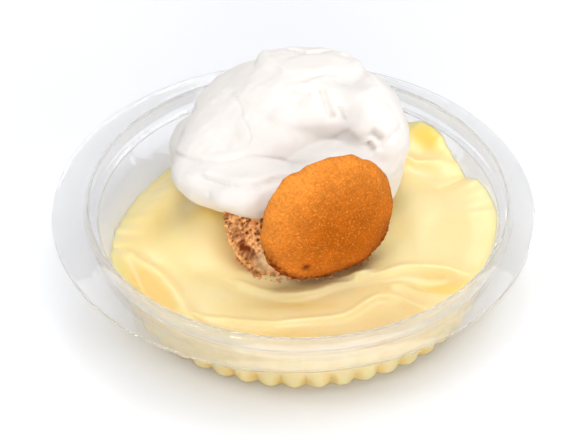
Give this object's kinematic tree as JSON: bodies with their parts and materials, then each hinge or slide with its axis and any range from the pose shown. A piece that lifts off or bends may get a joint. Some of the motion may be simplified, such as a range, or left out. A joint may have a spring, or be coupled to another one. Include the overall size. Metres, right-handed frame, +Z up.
{
  "type": "bowl of banana pudding",
  "caption": "Shallow clear fluted bowl filled with banana pudding, topped with a dollop of whipped cream and vanilla wafers.",
  "frame": {"origin": "middle of the round rim, on the surface that the bowl stands on", "axes": "+Z up, -Y towards the front, where the wafers stand, and +X to the right of someone facing them"},
  "size_m": [0.134, 0.134, 0.055],
  "materials": {
    "clear_plastic": "clear, glossy, thin pressed plastic",
    "pudding": "soft satin, creamy yellow",
    "whipped_cream": "matte, off-white",
    "wafer_crust": "dry, finely grained, golden brown",
    "wafer_underside": "dry, porous, tan brown"
  },
  "bodies": {
    "root": {"bowl": "clear_plastic", "pudding": "pudding", "whipped_cream": "whipped_cream", "wafer_front": "wafer_crust", "wafer_back": "wafer_underside"}
  },
  "joints": []
}
